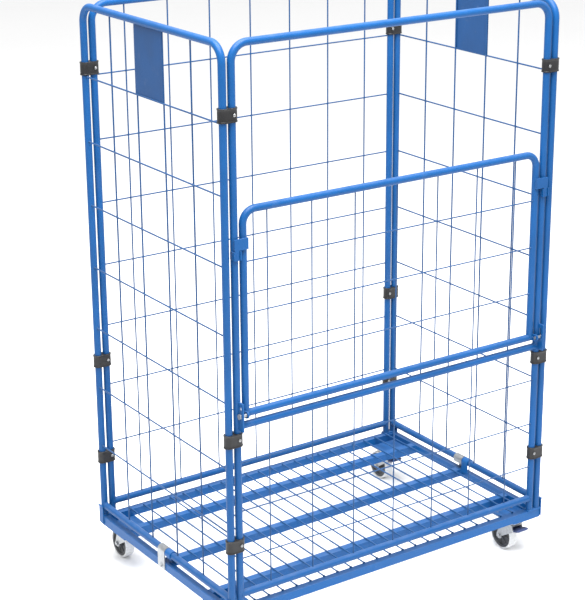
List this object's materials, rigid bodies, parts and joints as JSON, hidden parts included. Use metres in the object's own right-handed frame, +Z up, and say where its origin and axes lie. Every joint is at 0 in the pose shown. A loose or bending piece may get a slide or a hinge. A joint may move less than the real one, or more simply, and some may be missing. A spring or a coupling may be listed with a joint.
{
  "type": "roll cage container",
  "caption": "Wheeled wire-mesh roll cage with tubular panels, a drop-down front gate, a wire deck base, swivel castors and pedal brakes.",
  "frame": {"origin": "on the floor, under the middle of the whole box", "axes": "+Z up, the gate faces -Y, +X to the right seen from the front, braked castors at +X"},
  "size_m": [1.2134, 0.846, 1.831],
  "materials": {
    "base_paint": "powder coat, satin blue",
    "deck_wire_paint": "powder coat, satin blue",
    "tube_paint": "powder coat, semi-gloss blue",
    "wire_paint": "powder coat, satin blue",
    "label_plate_paint": "powder coat, matte blue",
    "zinc_plate": "bright zinc plate",
    "rivet_steel": "satin",
    "clip_plastic": "moulded, fine texture",
    "tread": "smooth light grey rubber",
    "hub_plastic": "moulded dark grey",
    "pedal_paint": "dark navy"
  },
  "bodies": {
    "cage": {"base_front_rail": "base_paint", "base_rear_rail": "base_paint", "base_left_rail": "base_paint", "base_right_rail": "base_paint", "base_cross_beams": "base_paint", "deck_wires": "deck_wire_paint", "castor_mount_plates": "base_paint", "corner_sockets": "base_paint", "holddown_straps": "zinc_plate", "holddown_saddles": "base_paint", "holddown_bolts": "zinc_plate", "left_panel_hoop": "tube_paint", "left_panel_bottom_tube": "tube_paint", "left_panel_mesh": "wire_paint", "left_panel_label_plate": "label_plate_paint", "right_panel_hoop": "tube_paint", "right_panel_bottom_tube": "tube_paint", "right_panel_mesh": "wire_paint", "right_panel_label_plate": "label_plate_paint", "back_panel_hoop": "tube_paint", "back_panel_bottom_tube": "tube_paint", "back_panel_mesh": "wire_paint", "front_panel_hoop": "tube_paint", "front_panel_bottom_tube": "tube_paint", "front_panel_crossbar": "tube_paint", "front_panel_mesh": "wire_paint", "gate_hinge_plates": "tube_paint", "gate_keepers": "tube_paint", "front_left_clips": "clip_plastic", "front_right_clips": "clip_plastic", "rear_left_clips": "clip_plastic", "rear_right_clips": "clip_plastic", "clip_rivets": "rivet_steel", "castor_top_plates": "zinc_plate", "castor_kingpins": "zinc_plate", "castor_bolts": "zinc_plate"},
    "gate_slider": {"gate_hinge_pins": "zinc_plate"},
    "gate": {"gate_hoop": "tube_paint", "gate_bottom_rail": "tube_paint", "gate_mesh": "wire_paint", "gate_latch_hooks": "tube_paint"},
    "front_left_swivel": {"front_left_fork": "zinc_plate", "front_left_axle": "zinc_plate"},
    "front_left_wheel": {"front_left_tyre": "tread", "front_left_hub": "hub_plastic"},
    "front_right_swivel": {"front_right_fork": "zinc_plate", "front_right_axle": "zinc_plate"},
    "front_right_wheel": {"front_right_tyre": "tread", "front_right_hub": "hub_plastic"},
    "front_right_pedal": {"front_right_brake_pedal": "pedal_paint"},
    "rear_left_swivel": {"rear_left_fork": "zinc_plate", "rear_left_axle": "zinc_plate"},
    "rear_left_wheel": {"rear_left_tyre": "tread", "rear_left_hub": "hub_plastic"},
    "rear_right_swivel": {"rear_right_fork": "zinc_plate", "rear_right_axle": "zinc_plate"},
    "rear_right_wheel": {"rear_right_tyre": "tread", "rear_right_hub": "hub_plastic"},
    "rear_right_pedal": {"rear_right_brake_pedal": "pedal_paint"}
  },
  "joints": [
    {"name": "gate_lift", "type": "slide", "parent": "cage", "child": "gate_slider", "axis": [0, 0, 1], "range_m": [0, 0.025]},
    {"name": "gate_swing", "type": "hinge", "parent": "gate_slider", "child": "gate", "pos_m": [0, -0.41, 0.771], "axis": [1, 0, 0], "range_deg": [0, 180]},
    {"name": "front_left_swivel_turn", "type": "hinge", "parent": "cage", "child": "front_left_swivel", "pos_m": [-0.531, -0.341, 0.115], "axis": [0, 0, 1], "continuous": true},
    {"name": "front_left_wheel_roll", "type": "hinge", "parent": "front_left_swivel", "child": "front_left_wheel", "pos_m": [-0.531, -0.303, 0.05], "axis": [1, 0, 0], "continuous": true},
    {"name": "front_right_swivel_turn", "type": "hinge", "parent": "cage", "child": "front_right_swivel", "pos_m": [0.531, -0.341, 0.115], "axis": [0, 0, 1], "continuous": true},
    {"name": "front_right_wheel_roll", "type": "hinge", "parent": "front_right_swivel", "child": "front_right_wheel", "pos_m": [0.531, -0.303, 0.05], "axis": [1, 0, 0], "continuous": true},
    {"name": "front_right_brake_press", "type": "hinge", "parent": "front_right_swivel", "child": "front_right_pedal", "pos_m": [0.531, -0.348, 0.09], "axis": [1, 0, 0], "range_deg": [0, 12]},
    {"name": "rear_left_swivel_turn", "type": "hinge", "parent": "cage", "child": "rear_left_swivel", "pos_m": [-0.531, 0.335, 0.115], "axis": [0, 0, 1], "continuous": true},
    {"name": "rear_left_wheel_roll", "type": "hinge", "parent": "rear_left_swivel", "child": "rear_left_wheel", "pos_m": [-0.531, 0.373, 0.05], "axis": [1, 0, 0], "continuous": true},
    {"name": "rear_right_swivel_turn", "type": "hinge", "parent": "cage", "child": "rear_right_swivel", "pos_m": [0.531, 0.335, 0.115], "axis": [0, 0, 1], "continuous": true},
    {"name": "rear_right_wheel_roll", "type": "hinge", "parent": "rear_right_swivel", "child": "rear_right_wheel", "pos_m": [0.531, 0.373, 0.05], "axis": [1, 0, 0], "continuous": true},
    {"name": "rear_right_brake_press", "type": "hinge", "parent": "rear_right_swivel", "child": "rear_right_pedal", "pos_m": [0.531, 0.328, 0.09], "axis": [1, 0, 0], "range_deg": [0, 12]}
  ]
}
